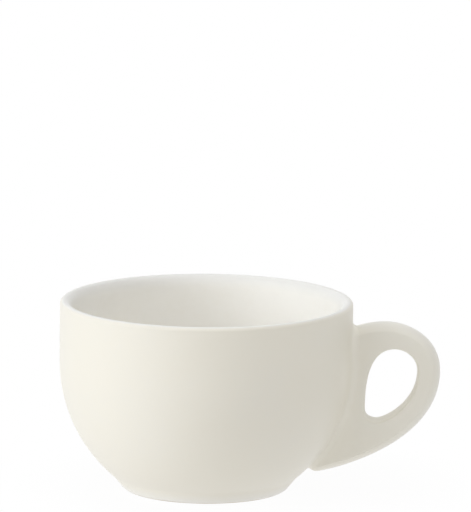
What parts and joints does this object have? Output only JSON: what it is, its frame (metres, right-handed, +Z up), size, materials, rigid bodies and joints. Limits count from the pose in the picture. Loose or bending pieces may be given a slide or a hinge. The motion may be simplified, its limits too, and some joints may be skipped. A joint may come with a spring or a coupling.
{
  "type": "latte cup",
  "caption": "Glazed ivory latte cup: round-bellied bowl with an upright rim, closed ear handle with a finger hole, and a low foot ring.",
  "frame": {"origin": "middle of the cup's length and width, on the table under its foot", "axes": "+X along the handle, away from the bowl; +Z up along the bowl's axis"},
  "size_m": [0.1404, 0.108, 0.0704],
  "materials": {
    "ivory_glaze": "soft glossy ivory glaze",
    "foot": "ivory glaze on the outside, wiped bare and ground smooth on the tread",
    "handle_glaze": "soft glossy ivory glaze",
    "slip_glaze": "soft glossy ivory glaze, pooled in the crease",
    "liner_glaze": "glossy off-white glaze"
  },
  "bodies": {
    "root": {"bowl": "ivory_glaze", "foot_ring": "foot", "handle": "handle_glaze", "luting_slip": "slip_glaze", "liner_glaze": "liner_glaze"}
  },
  "joints": []
}
